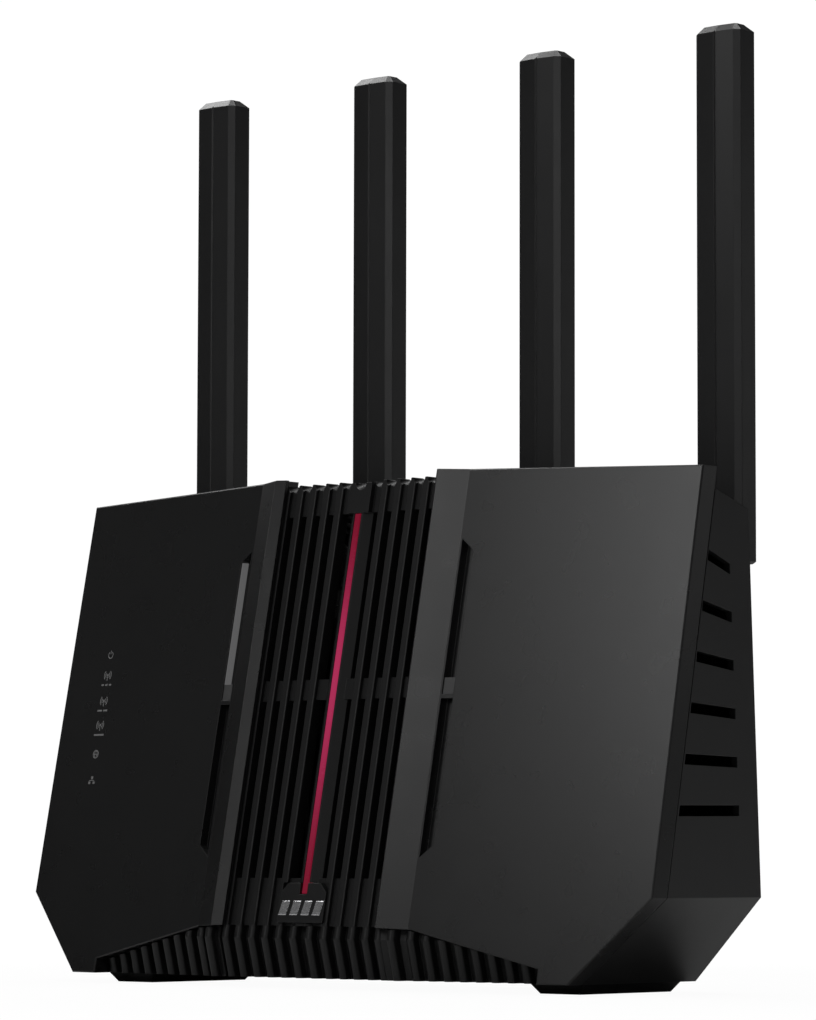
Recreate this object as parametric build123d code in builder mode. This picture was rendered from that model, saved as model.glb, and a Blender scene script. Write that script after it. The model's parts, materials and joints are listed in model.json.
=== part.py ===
"""Upright desktop wireless router: a V-shaped front of two swept wings either side of a ribbed
grille with a light strip, a slotted rear housing full of electronics, and four folding antennas.

Units are millimetres.  +X is to the right seen from the front, +Y goes to the back and +Z is up.
The origin is on the desk, under the middle of the router.
"""
from build123d import *

import os
from math import cos, hypot, radians, tan

os.makedirs("parts", exist_ok=True)

# ---- Driving dimensions -------------------------------------------------------------------
HALF_DEPTH = 43.3          # the pillar ridges and the antenna backs are this far from the middle
RIDGE_BEVEL = 0.235        # the sharp ridge line stands this much further out than its bevel
LEAN = tan(radians(11.5))  # the whole front leans back as it rises
SWEEP = tan(radians(5.8))  # the wings sweep back towards the sides
FOOT_HEIGHT = 3.3          # gap between the desk and the base
RIDGE_FOOT_Z = 20.0        # lower end of the pillars
RIDGE_X = 35.55            # front edge of each pillar
PILLAR_BEVEL = 2.6         # 45 degree bevel along the inner side of each pillar
FACET_X = 45.3             # where a pillar's outer facet meets the wing
FACET_STEP = 4.6           # the facet goes back this far between the two
WING_X = 133.5             # widest point of the wings
WING_DEPTH = 7.2           # depth of a wing shell behind its face
SHUT_LINE = 0.3            # gap between neighbouring mouldings
SEAM_GAP = 0.8             # gap between the wings and the rear housing
WALL = 2.4                 # moulding thickness of the casing
COLUMN_X = 34.6            # half width of the ribbed column between the pillars
COLUMN_STEP = 4.2          # the column lies this far behind the ridges
COLUMN_TOP_Z = 164.5
RIB_PITCH = 5.95
RIB_WIDTH = 3.0
FIRST_RIB_X = 9.7
END_RIB_X = 33.1           # the half rib against each pillar
SKIRT_BEND_Z = 16.0        # the skirt follows the lean down to here, then slopes back
SKIRT_SLOPE = 0.26         # how far it goes back for each millimetre down
CORNER = 26.5              # size of the 45 degree cut at the lower corners
REAR_LEAN = 0.0406         # the rear wall leans forward as it rises
REAR_FOOT_Y = 28.5         # rear wall at desk level
ANTENNA_XS = {"outer_left": -111.0, "inner_left": -37.0, "inner_right": 37.0, "outer_right": 111.0}
ANTENNA_WIDTH = 17.8
ANTENNA_DEPTH = 9.4
ANTENNA_FOOT_Z = 134.9
ANTENNA_TOP_Z = 308.2
PIVOT_Z = 140.0
BOARD_Y = 1.2              # front face of the main board
BOARD_THICKNESS = 1.6
BEZEL_Y = 26.8             # rear face of the port bezel

# ---- Worked out from them -----------------------------------------------------------------
RIDGE_Y = -HALF_DEPTH - RIDGE_BEVEL - LEAN * RIDGE_FOOT_Z   # ridge line carried down to desk level
FACET_Y = RIDGE_Y + FACET_STEP
COLUMN_Y = RIDGE_Y + COLUMN_STEP
LIP_X = RIDGE_X - PILLAR_BEVEL                   # inner side of each pillar
LIP_Y = COLUMN_Y - SHUT_LINE                     # back of the lip over the column's edge
SEAM_Y = FACET_Y + WING_DEPTH                    # back of the wing shells at the facet line
HOUSING_X = WING_X - SHUT_LINE
BOARD_BACK_Y = BOARD_Y + BOARD_THICKNESS
PIVOT_Y = HALF_DEPTH - ANTENNA_DEPTH / 2
ANTENNA_FRONT_Y = HALF_DEPTH - ANTENNA_DEPTH
LEAN_WAY = (0, LEAN, 1)
TALL = 220                                       # longer than anything that it is trimmed to


def wing_y(x):
    """Y of a wing's face at desk level, before the lean carries it back."""
    return FACET_Y + SWEEP * (abs(x) - FACET_X)


def rear_y(z):
    """Y of the rear wall's outer face at height z."""
    return REAR_FOOT_Y - REAR_LEAN * z


def facing_front(y):
    """Upright plane at depth y: local x is +X, local y is +Z, and it extrudes forwards."""
    return Plane(origin=(0, y, 0), x_dir=(1, 0, 0), z_dir=(0, -1, 0))


def polygon(plane, points):
    """A closed flat outline through the points."""
    with BuildSketch(plane) as outline:
        with BuildLine():
            Polyline(*points, close=True)
        make_face()
    return outline.sketch


def leaning(plan, face):
    """The plan section carried up along the lean and trimmed to the outline seen from the front."""
    with BuildPart() as block:
        extrude(plan, amount=TALL * (1 + LEAN**2) ** 0.5, dir=LEAN_WAY)
        extrude(face, amount=TALL, both=True, mode=Mode.INTERSECT)
    return block.part


def mirrored(part):
    """The left-hand twin of a right-hand piece."""
    return mirror(part, about=Plane.YZ, mode=Mode.PRIVATE)


def bar(x0, x1, y0, y1, z0, z1, mode=Mode.ADD):
    """A rectangular block between two corners."""
    with Locations(((x0 + x1) / 2, (y0 + y1) / 2, (z0 + z1) / 2)):
        Box(x1 - x0, y1 - y0, z1 - z0, mode=mode)


def save(name, part):
    """Label a finished piece and write its file."""
    part.label = name
    export_step(part, f"parts/{name}.step")


# ---- Wings: shells with a pillar along their inner edge -------------------------------------
WING_FACE = [
    (LIP_X, RIDGE_FOOT_Z), (FACET_X, RIDGE_FOOT_Z - 0.6), (95.4, 8.0), (95.5, FOOT_HEIGHT),
    (WING_X - CORNER, FOOT_HEIGHT), (WING_X, FOOT_HEIGHT + CORNER), (WING_X - 0.8, 163.0),
    (LIP_X, 166.4),
]
WING_PLAN = [
    (COLUMN_X, LIP_Y), (LIP_X, LIP_Y), (LIP_X, RIDGE_Y + PILLAR_BEVEL), (RIDGE_X, RIDGE_Y),
    (FACET_X, FACET_Y),
    (WING_X, wing_y(WING_X)), (WING_X, wing_y(WING_X) + WING_DEPTH), (FACET_X, SEAM_Y),
    (COLUMN_X, SEAM_Y - 1.4),
]
HOLLOW_PLAN = [
    (RIDGE_X + WALL, RIDGE_Y + WALL + 2.0), (FACET_X, FACET_Y + WALL),
    (WING_X - WALL, wing_y(WING_X - WALL) + WALL), (WING_X - WALL, TALL), (RIDGE_X + WALL, TALL),
]
SLOT_X0, SLOT_X1 = 46.0, 50.6
SLOT_FLOOR = 3.4           # depth of the accent slots
UPPER_SLOT = (93.4, 143.3)
LOWER_SLOT = (42.0, 92.1)
SLOT_CUT = 3.8             # height of the slanted end of each slot
ACCENT_THICKNESS = 0.35
ACCENT_BLOCK = (46.1, 98.7)  # inner edge and top of the block at the accent's lower end
ACCENT_RECESS = 0.5
SCREW_X = 119.0
SCREW_ZS = (48.0, 118.0)
POST_FRONT_Y = -1.8        # the wing's screw posts end here, the housing's start just behind


def slot_outline(low, high, cut_top):
    """Accent slot: a tall rectangle whose outer corner is cut off at a slant at one end."""
    if cut_top:
        points = [(SLOT_X0, low), (SLOT_X1, low), (SLOT_X1, high - SLOT_CUT), (SLOT_X0, high)]
    else:
        points = [(SLOT_X0, low), (SLOT_X1, low + SLOT_CUT), (SLOT_X1, high), (SLOT_X0, high)]
    return polygon(facing_front(0), points)


def slot_plan(depth, x0=SLOT_X0, x1=SLOT_X1):
    """Plan section of the accent slot, measured from the wing's face."""
    return polygon(Plane.XY, [
        (x0, wing_y(x0) - 2), (x1, wing_y(x1) - 2), (x1, wing_y(x1) + depth), (x0, wing_y(x0) + depth),
    ])


def make_wing():
    """Right-hand wing with its slots, their backs and two screw posts."""
    face = polygon(facing_front(0), WING_FACE)
    inner_face = offset(face, amount=-WALL, kind=Kind.INTERSECTION, mode=Mode.PRIVATE)
    with BuildPart() as wing:
        add(leaning(polygon(Plane.XY, WING_PLAN), face))
        # every front edge is eased except the pillar's ridge, facet line and foot, which stay sharp
        rims = []
        for edge in wing.faces().filter_by(lambda f: f.normal_at().Y < -0.8).edges():
            middle = edge.center()
            on_ridge_or_facet_line = min(abs(middle.X - RIDGE_X), abs(middle.X - FACET_X)) < 0.5
            on_pillar_foot = middle.X < FACET_X and middle.Z < RIDGE_FOOT_Z + 1
            if not on_ridge_or_facet_line and not on_pillar_foot:
                rims.append(edge)
        chamfer(rims, length=0.4)
        add(leaning(polygon(Plane.XY, HOLLOW_PLAN), inner_face), mode=Mode.SUBTRACT)
        for low, high, cut_top in ((*UPPER_SLOT, True), (*LOWER_SLOT, False)):
            outline = slot_outline(low, high, cut_top)
            tray = offset(outline, amount=1.2, kind=Kind.INTERSECTION, mode=Mode.PRIVATE)
            tray_plan = polygon(Plane.XY, [
                (SLOT_X0 - 1.2, wing_y(SLOT_X0) + 1), (SLOT_X1 + 1.2, wing_y(SLOT_X1) + 1),
                (SLOT_X1 + 1.2, wing_y(SLOT_X1) + SLOT_FLOOR + 1.2),
                (SLOT_X0 - 1.2, wing_y(SLOT_X0) + SLOT_FLOOR + 1.2),
            ])
            add(leaning(tray_plan, tray))
            add(leaning(slot_plan(SLOT_FLOOR), outline), mode=Mode.SUBTRACT)
        for z in SCREW_ZS:
            face_y = wing_y(SCREW_X) + LEAN * z + 1.0
            with BuildSketch(facing_front(POST_FRONT_Y)):
                with Locations((SCREW_X, z)):
                    Circle(3.6)
                    Circle(1.25, mode=Mode.SUBTRACT)
            extrude(amount=POST_FRONT_Y - face_y)
    return wing.part


right_wing_panel = make_wing()
save("right_wing_panel", right_wing_panel)
save("left_wing_panel", mirrored(right_wing_panel))


def make_accent():
    """Thin strip along the outer wall of the upper slot, with a block at its lower end."""
    x1 = SLOT_X1 - 0.03
    x0 = x1 - ACCENT_THICKNESS
    block_x, block_z = ACCENT_BLOCK
    low, high = UPPER_SLOT[0] + 0.05, UPPER_SLOT[1] - SLOT_CUT
    far = SLOT_FLOOR - 0.05
    outline = polygon(facing_front(0), [(x0, low), (x1, low), (x1, high), (x0, high)])
    foot = polygon(facing_front(0), [(block_x, low), (x1, low), (x1, block_z), (block_x, block_z)])
    with BuildPart() as accent:
        for left, face in ((x0, outline), (block_x, foot)):
            plan = polygon(Plane.XY, [
                (left, wing_y(left) + ACCENT_RECESS), (x1, wing_y(x1) + ACCENT_RECESS),
                (x1, wing_y(x1) + far), (left, wing_y(left) + far),
            ])
            add(leaning(plan, face))
    return accent.part


right_accent_strip = make_accent()
save("right_accent_strip", right_accent_strip)
save("left_accent_strip", mirrored(right_accent_strip))

# ---- Front grille: the ribbed column, its cross bands, the spine and the ribbed skirt ---------
RIB_DEPTH = 4.6
BAND_SET_BACK = 1.4
BANDS = ((RIDGE_FOOT_Z, 35.2), (92.7, 99.4), (153.9, COLUMN_TOP_Z - 0.5))
SPINE_X = 4.7
CHANNEL_X = 1.5            # half width of the channel that holds the light strip
STRIP_X = 1.0
STRIP_FLANGE_X = 1.4       # the strip is wider at its base
STRIP_PROUD = 0.3
STRIP_ZS = (30.3, 153.6)
PLATE_X = 9.9
PLATE_ZS = (21.0, 33.8)
PLATE_PROUD = 0.8
FLUTE_R = 2.4
FLUTE_DEPTH = 2.1          # depth of a flute below the column's top, at its front
FLUTE_RISE = 18.0          # degrees by which a flute rises to the back
SKIRT_RECESS = 0.8
SKIRT_RIB_DEPTH = 3.2
SKIRT_WALL = 1.6
SKIRT_X = 95.2             # the skirt ends here
SKIRT_RIB_WIDTH = 3.0
MIDDLE_RIB_X = 3.4
column_ribs = [FIRST_RIB_X + RIB_PITCH * k for k in range(4)]
skirt_ribs = [*column_ribs, END_RIB_X, *(FIRST_RIB_X + RIB_PITCH * k for k in range(5, 15))]


def both_sides(xs):
    """The same X positions on the left and on the right."""
    return [side * x for x in xs for side in (-1, 1)]


def make_column():
    """Flat ribs with round heads, joined behind by three cross bands, with the spine in the middle."""
    head = RIB_WIDTH / 2
    with BuildSketch(Plane.XY) as rib_plan:
        for x in both_sides(column_ribs):
            with Locations((x, COLUMN_Y + RIB_DEPTH / 2)):
                RectangleRounded(RIB_WIDTH, RIB_DEPTH, 0.4)
        for x in both_sides([(COLUMN_X + 31.8) / 2]):
            with Locations((x, COLUMN_Y + RIB_DEPTH / 2)):
                Rectangle(COLUMN_X - 31.8 - SHUT_LINE / 2, RIB_DEPTH)
    with BuildSketch(facing_front(0)) as rib_face:
        for x in both_sides([*column_ribs, END_RIB_X]):
            with Locations((x, (RIDGE_FOOT_Z + COLUMN_TOP_Z - head) / 2)):
                Rectangle(RIB_WIDTH + 0.4, COLUMN_TOP_Z - head - RIDGE_FOOT_Z)
            with Locations((x, COLUMN_TOP_Z - head)):
                Circle(head)
    band_plan = polygon(Plane.XY, [
        (-COLUMN_X + 0.15, COLUMN_Y + BAND_SET_BACK), (COLUMN_X - 0.15, COLUMN_Y + BAND_SET_BACK),
        (COLUMN_X - 0.15, COLUMN_Y + RIB_DEPTH - 0.4), (-COLUMN_X + 0.15, COLUMN_Y + RIB_DEPTH - 0.4),
    ])
    with BuildSketch(facing_front(0)) as band_face:
        for low, high in BANDS:
            with Locations((0, (low + high) / 2)):
                Rectangle(2 * COLUMN_X, high - low)
    spine_plan = polygon(Plane.XY, [
        (-SPINE_X, COLUMN_Y + 2.2), (-CHANNEL_X - 0.5, COLUMN_Y - 0.2),
        (CHANNEL_X + 0.5, COLUMN_Y - 0.2), (SPINE_X, COLUMN_Y + 2.2),
        (SPINE_X, COLUMN_Y + RIB_DEPTH), (-SPINE_X, COLUMN_Y + RIB_DEPTH),
    ])
    with BuildSketch(facing_front(0)) as spine_face:
        with Locations((0, (RIDGE_FOOT_Z + COLUMN_TOP_Z - 0.6) / 2)):
            Rectangle(2 * SPINE_X, COLUMN_TOP_Z - 0.6 - RIDGE_FOOT_Z)
    cap_plan = polygon(Plane.XY, [
        (-SPINE_X, COLUMN_Y - 0.6), (SPINE_X, COLUMN_Y - 0.6),
        (SPINE_X, COLUMN_Y + RIB_DEPTH), (-SPINE_X, COLUMN_Y + RIB_DEPTH),
    ])
    cap_face = polygon(facing_front(0), [
        (-SPINE_X, STRIP_ZS[1] + 0.3), (SPINE_X, STRIP_ZS[1] + 0.3),
        (SPINE_X, COLUMN_TOP_Z - 0.6), (-SPINE_X, COLUMN_TOP_Z - 0.6),
    ])
    with BuildPart() as column:
        add(leaning(rib_plan.sketch, rib_face.sketch))
        add(leaning(band_plan, band_face.sketch))
        add(leaning(spine_plan, spine_face.sketch))
        add(leaning(cap_plan, cap_face))
        # channel for the light strip
        channel_plan = polygon(Plane.XY, [
            (-CHANNEL_X, COLUMN_Y - 5), (CHANNEL_X, COLUMN_Y - 5),
            (CHANNEL_X, COLUMN_Y + 3.0), (-CHANNEL_X, COLUMN_Y + 3.0),
        ])
        low, high = STRIP_ZS
        channel_face = polygon(facing_front(0), [
            (-CHANNEL_X, low - 0.15), (CHANNEL_X, low - 0.15),
            (CHANNEL_X, high + 0.15), (-CHANNEL_X, high + 0.15),
        ])
        add(leaning(channel_plan, channel_face), mode=Mode.SUBTRACT)
        # flutes across the top, one over each gap between the ribs
        edge_y = COLUMN_Y + BAND_SET_BACK + LEAN * COLUMN_TOP_Z
        axis_z = COLUMN_TOP_Z - FLUTE_DEPTH + FLUTE_R / cos(radians(FLUTE_RISE))
        flute_xs = [0.0, *both_sides([x - RIB_PITCH / 2 for x in [*column_ribs, 33.5]])]
        for x in flute_xs:
            with Locations(Location((x, edge_y, axis_z), (FLUTE_RISE - 90, 0, 0))):
                Cylinder(FLUTE_R, 14, mode=Mode.SUBTRACT)
    return column.part


def skirt_y(x):
    """Y of the skirt's front at desk level, before the lean carries it back."""
    if x <= COLUMN_X:
        return COLUMN_Y
    if x <= FACET_X:
        return RIDGE_Y + SKIRT_RECESS + FACET_STEP * (x - COLUMN_X) / (FACET_X - COLUMN_X)
    return wing_y(x) + SKIRT_RECESS


def front_line(recess):
    """Plan points of the skirt's front, from the middle to the right end."""
    return [(x, skirt_y(x) + recess) for x in (0, COLUMN_X, COLUMN_X + 0.3, FACET_X, SKIRT_X)]


def skirt_layer(plan, face):
    """A plan section that follows the lean down to the bend and then slopes back, on both sides."""
    with BuildPart() as upper:
        add(leaning(plan, face))
        bar(-TALL, TALL, -TALL, TALL, -TALL, SKIRT_BEND_Z, mode=Mode.SUBTRACT)
    with BuildPart() as lower:
        start = Location((0, LEAN * SKIRT_BEND_Z, SKIRT_BEND_Z))
        extrude(plan.moved(start), amount=SKIRT_BEND_Z * hypot(1, SKIRT_SLOPE), dir=(0, SKIRT_SLOPE, -1))
        extrude(face, amount=TALL, both=True, mode=Mode.INTERSECT)
    with BuildPart() as layer:
        add(upper.part)
        add(lower.part)
        mirror(about=Plane.YZ)
    return layer.part


def make_skirt():
    """Ribs with round fronts below the column and the wings, on a continuous back wall."""
    gap = 0.35
    limit = polygon(facing_front(0), [
        (0, FOOT_HEIGHT), (SKIRT_X, FOOT_HEIGHT), (SKIRT_X, 8.0 - gap), (FACET_X, RIDGE_FOOT_Z - 0.6 - gap),
        (COLUMN_X + 0.2, RIDGE_FOOT_Z - gap), (COLUMN_X - 0.2, RIDGE_FOOT_Z), (0, RIDGE_FOOT_Z),
    ])
    depth = SKIRT_RIB_DEPTH + 1.4
    with BuildSketch(Plane.XY) as rib_plan:
        for x in [MIDDLE_RIB_X, *skirt_ribs]:
            with Locations((x, skirt_y(x) + depth / 2)):
                RectangleRounded(SKIRT_RIB_WIDTH, depth, 1.3)
    wall_plan = polygon(Plane.XY, [
        *front_line(SKIRT_RIB_DEPTH), *reversed(front_line(SKIRT_RIB_DEPTH + SKIRT_WALL)),
    ])
    with BuildPart() as skirt:
        add(skirt_layer(rib_plan.sketch, limit))
        add(skirt_layer(wall_plan, limit))
    return skirt.part


with BuildPart() as front_grille:
    add(make_column())
    add(make_skirt())
    # seat for the badge plate
    seat_plan = polygon(Plane.XY, [
        (-PLATE_X, COLUMN_Y - 1), (PLATE_X, COLUMN_Y - 1),
        (PLATE_X, COLUMN_Y + BAND_SET_BACK), (-PLATE_X, COLUMN_Y + BAND_SET_BACK),
    ])
    seat_face = polygon(facing_front(0), [
        (-PLATE_X, PLATE_ZS[0]), (PLATE_X, PLATE_ZS[0]), (PLATE_X, PLATE_ZS[1]), (-PLATE_X, PLATE_ZS[1]),
    ])
    add(leaning(seat_plan, seat_face), mode=Mode.SUBTRACT)
save("front_grille", front_grille.part)

# badge plate: a blank plate with cut upper corners, notched round the end of the light strip
PLATE_CUT = 3.0
with BuildPart() as badge_plate:
    edge = PLATE_X - 0.1
    low, high = PLATE_ZS[0] + 0.1, PLATE_ZS[1] - 0.1
    add(leaning(
        polygon(Plane.XY, [
            (-edge, COLUMN_Y - PLATE_PROUD), (edge, COLUMN_Y - PLATE_PROUD),
            (edge, COLUMN_Y + BAND_SET_BACK - 0.02), (-edge, COLUMN_Y + BAND_SET_BACK - 0.02),
        ]),
        polygon(facing_front(0), [
            (-edge, low), (edge, low), (edge, high - PLATE_CUT), (edge - PLATE_CUT, high),
            (CHANNEL_X + 0.1, high), (CHANNEL_X + 0.1, STRIP_ZS[0] - 0.3),
            (-CHANNEL_X - 0.1, STRIP_ZS[0] - 0.3), (-CHANNEL_X - 0.1, high),
            (PLATE_CUT - edge, high), (-edge, high - PLATE_CUT),
        ]),
    ))
save("badge_plate", badge_plate.part)


def strip_bar(half_width, near, far, low, high):
    """Straight bar along the column, between two distances behind its face."""
    return leaning(
        polygon(Plane.XY, [
            (-half_width, COLUMN_Y + near), (half_width, COLUMN_Y + near),
            (half_width, COLUMN_Y + far), (-half_width, COLUMN_Y + far),
        ]),
        polygon(facing_front(0), [
            (-half_width, low), (half_width, low), (half_width, high), (-half_width, high),
        ]),
    )


with BuildPart() as light_strip:
    add(strip_bar(STRIP_X, -STRIP_PROUD, 2.9, *STRIP_ZS))
    add(strip_bar(STRIP_FLANGE_X, 1.9, 2.9, *STRIP_ZS))
save("light_strip", light_strip.part)
save("light_strip_board", strip_bar(3.2, RIB_DEPTH + 0.1, RIB_DEPTH + 1.1, 38.0, 150.0))

# ---- Rear housing -------------------------------------------------------------------------
HOUSING_FACE = [
    (-HOUSING_X + CORNER, FOOT_HEIGHT), (HOUSING_X - CORNER, FOOT_HEIGHT),
    (HOUSING_X, FOOT_HEIGHT + CORNER), (HOUSING_X - 0.8, 170),
    (-HOUSING_X + 0.8, 170), (-HOUSING_X, FOOT_HEIGHT + CORNER),
]
TOP_SLOPE = 0.323          # the top falls towards the back
TOP_FRONT = (5.7, 156.0)   # a point on the top surface
BOSS_R = 8.8
BOSS_FACE_Y = 26.2
SHAFT_R = 6.0
RUNNING_GAP = 0.05
SCREW_HEAD_R = 3.2
WINDOW_X = 88.0
WINDOW_ZS = (9.5, 35.5)
BOARD_POST_XS = (-94.0, 94.0)
BOARD_POST_ZS = (42.0, 84.0, 124.0)


def top_z(y):
    """Height of the housing's top at depth y."""
    return TOP_FRONT[1] - TOP_SLOPE * (y - TOP_FRONT[0])


def housing_block(inset):
    """Outer body of the housing, or with an inset its hollow, which is open to the front."""
    front = SEAM_Y + SEAM_GAP - (60 if inset else 0)
    side_front = front + SWEEP * (HOUSING_X - FACET_X)
    plan = polygon(Plane.XY, [
        (-FACET_X, front), (FACET_X, front), (HOUSING_X, side_front), (HOUSING_X, 60),
        (-HOUSING_X, 60), (-HOUSING_X, side_front),
    ])
    face = polygon(facing_front(0), HOUSING_FACE)
    side = polygon(Plane.YZ, [
        (-90, FOOT_HEIGHT), (rear_y(FOOT_HEIGHT), FOOT_HEIGHT), (rear_y(150.6), 150.6),
        (-90, top_z(-90)),
    ])
    if inset:
        face = offset(face, amount=-inset, kind=Kind.INTERSECTION, mode=Mode.PRIVATE)
        side = offset(side, amount=-inset, kind=Kind.INTERSECTION, mode=Mode.PRIVATE)
    with BuildPart() as block:
        add(leaning(plan, face))
        extrude(side, amount=TALL, both=True, mode=Mode.INTERSECT)
    return block.part


def side_slot(k):
    """Outline on the side of slot number k, counted upwards: the higher, the shorter and steeper."""
    front_y, front_z = -13.9 + 3.1 * k, 56.3 + 15.8 * k
    back_y, back_z = 16.4 - 0.74 * k, 56.6 + 14.95 * k
    half = 1.65
    return polygon(Plane.YZ, [
        (front_y - 0.3, front_z - half), (back_y, back_z - half),
        (back_y, back_z + half), (front_y + 0.3, front_z + half),
    ])


def make_housing():
    """Shell with slotted sides, vents, antenna bosses, screw posts and the port window."""
    with BuildPart() as housing:
        add(housing_block(0))
        add(housing_block(WALL), mode=Mode.SUBTRACT)
        # antenna bosses
        for x in ANTENNA_XS.values():
            with BuildSketch(facing_front(BOSS_FACE_Y)):
                with Locations((x, PIVOT_Z)):
                    Circle(BOSS_R)
            extrude(amount=BOSS_FACE_Y - 19.2)
            with BuildSketch(facing_front(BOSS_FACE_Y + 5)):
                with Locations((x, PIVOT_Z)):
                    Circle(SHAFT_R + RUNNING_GAP)
            extrude(amount=15, mode=Mode.SUBTRACT)
        # screw posts for the wings, counterbored from behind
        for x in both_sides([SCREW_X]):
            for z in SCREW_ZS:
                seat = rear_y(z) - 4.0
                with BuildSketch(facing_front(seat + 2.5)):
                    with Locations((x, z)):
                        Circle(4.2)
                extrude(amount=seat + 2.5 - (POST_FRONT_Y + SHUT_LINE))
                with BuildSketch(facing_front(rear_y(z) + 2)):
                    with Locations((x, z)):
                        Circle(1.7)
                extrude(amount=rear_y(z) + 4 - POST_FRONT_Y, mode=Mode.SUBTRACT)
                with BuildSketch(facing_front(rear_y(z) + 2)):
                    with Locations((x, z)):
                        Circle(SCREW_HEAD_R)
                extrude(amount=rear_y(z) + 2 - seat, mode=Mode.SUBTRACT)
        # posts for the main board
        for x in BOARD_POST_XS:
            for z in BOARD_POST_ZS:
                with BuildSketch(facing_front(rear_y(z) - 1)):
                    with Locations((x, z)):
                        Circle(3.2)
                extrude(amount=rear_y(z) - 1 - BOARD_BACK_Y)
                with BuildSketch(facing_front(BOARD_BACK_Y + 9)):
                    with Locations((x, z)):
                        Circle(1.25)
                extrude(amount=10, mode=Mode.SUBTRACT)
        # fanned slots in both sides
        for k in range(6):
            extrude(side_slot(k), amount=TALL, both=True, mode=Mode.SUBTRACT)
        # rear vents in two rows, and one row of vents in the top and in the base
        vent_xs = [RIB_PITCH * (k - 13) for k in range(27)]
        with BuildSketch(facing_front(40)):
            for row_z in (66.0, 102.0):
                with Locations(*[(x, row_z) for x in vent_xs]):
                    SlotOverall(28, 3.0, rotation=90)
        extrude(amount=24, mode=Mode.SUBTRACT)
        with BuildSketch(Plane.XY.offset(170)):
            with Locations(*[(x, 9.2) for x in vent_xs]):
                SlotOverall(14, 3.0, rotation=90)
        extrude(amount=-25, mode=Mode.SUBTRACT)
        with BuildSketch(Plane.XY):
            with Locations(*[(x, -2.8) for x in vent_xs[2:-2]]):
                SlotOverall(20, 3.0, rotation=90)
        extrude(amount=8, mode=Mode.SUBTRACT)
        # room for the skirt of the front grille
        reach = SKIRT_RIB_DEPTH + SKIRT_WALL + SHUT_LINE
        room = polygon(Plane.XY, [*front_line(-8), *reversed(front_line(reach))])
        add(skirt_layer(room, polygon(facing_front(0), [
            (0, 0), (SKIRT_X + 0.3, 0), (SKIRT_X + 0.3, RIDGE_FOOT_Z + 4), (0, RIDGE_FOOT_Z + 4),
        ])), mode=Mode.SUBTRACT)
        # window for the port bezel
        bar(-WINDOW_X, WINDOW_X, 20, 40, *WINDOW_ZS, mode=Mode.SUBTRACT)
    return housing.part


save("rear_housing", make_housing())

with BuildPart() as housing_screws:
    for x in both_sides([SCREW_X]):
        for z in SCREW_ZS:
            seat = rear_y(z) - 4.0
            with BuildSketch(facing_front(seat + 2.2)):
                with Locations((x, z)):
                    Circle(2.9)
            extrude(amount=2.2)
            with BuildSketch(facing_front(seat)):
                with Locations((x, z)):
                    Circle(1.25)
            extrude(amount=seat - POST_FRONT_Y + 6)
            bar(x - 1.8, x + 1.8, seat + 1.2, seat + 3, z - 0.35, z + 0.35, mode=Mode.SUBTRACT)
            bar(x - 0.35, x + 0.35, seat + 1.2, seat + 3, z - 1.8, z + 1.8, mode=Mode.SUBTRACT)
save("housing_screws", housing_screws.part)

# ---- Ports on the back --------------------------------------------------------------------
JACK_Z = 21.5
JACK_HEIGHT = 13.4
LAN_PITCH = 15.6
LAN_XS = [-34.0 + LAN_PITCH * (k - 1.5) for k in range(4)]
WAN_X = 15.0
USB_X = 38.0
USB_WIDTH, USB_HEIGHT = 14.4, 7.2
POWER_X = 57.0
POWER_WIDTH, POWER_HEIGHT = 10.0, 6.0
INLET_X = 75.0
INLET_WIDTH, INLET_HEIGHT = 10.0, 11.0
SIDE_BUTTON_X = -76.0
WPS_Z, RESET_Z = 27.5, 15.5
WPS_R, RESET_R = 3.0, 1.2
BEZEL_FRONT_Y = BEZEL_Y - 2.0
LAN_HALF = 2 * LAN_PITCH + 0.4
WAN_HALF = LAN_PITCH / 2 + 0.4
CLEAR = 0.25               # gap round a moving button

with BuildPart() as port_bezel:
    bar(-WINDOW_X + 0.1, WINDOW_X - 0.1, BEZEL_FRONT_Y, BEZEL_Y, WINDOW_ZS[0] + 0.1, WINDOW_ZS[1] - 0.1)
    windows = [
        (sum(LAN_XS) / 4, JACK_Z, LAN_HALF, JACK_HEIGHT / 2), (WAN_X, JACK_Z, WAN_HALF, JACK_HEIGHT / 2),
        (USB_X, JACK_Z, USB_WIDTH / 2, USB_HEIGHT / 2), (INLET_X, JACK_Z, INLET_WIDTH / 2, INLET_HEIGHT / 2),
        (POWER_X, JACK_Z, POWER_WIDTH / 2 + CLEAR, POWER_HEIGHT / 2 + CLEAR),
    ]
    for x, z, half_x, half_z in windows:
        bar(x - half_x - 0.1, x + half_x + 0.1, 20, 30, z - half_z - 0.1, z + half_z + 0.1,
            mode=Mode.SUBTRACT)
    with BuildSketch(facing_front(30)):
        with Locations((SIDE_BUTTON_X, WPS_Z)):
            Circle(WPS_R + CLEAR)
        with Locations((SIDE_BUTTON_X, RESET_Z)):
            Circle(RESET_R + CLEAR)
    extrude(amount=12, mode=Mode.SUBTRACT)
save("port_bezel", port_bezel.part)


def jack_mouth(x):
    """Cut one modular jack: the plug's space with its stepped latch way below."""
    bar(x - 6.0, x + 6.0, BEZEL_Y - 13, BEZEL_Y + 2, JACK_Z - 2.8, JACK_Z + 5.2, mode=Mode.SUBTRACT)
    bar(x - 3.2, x + 3.2, BEZEL_Y - 11, BEZEL_Y + 2, JACK_Z - 4.2, JACK_Z - 2.7, mode=Mode.SUBTRACT)
    bar(x - 2.0, x + 2.0, BEZEL_Y - 11, BEZEL_Y + 2, JACK_Z - 5.6, JACK_Z - 4.1, mode=Mode.SUBTRACT)


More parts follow.
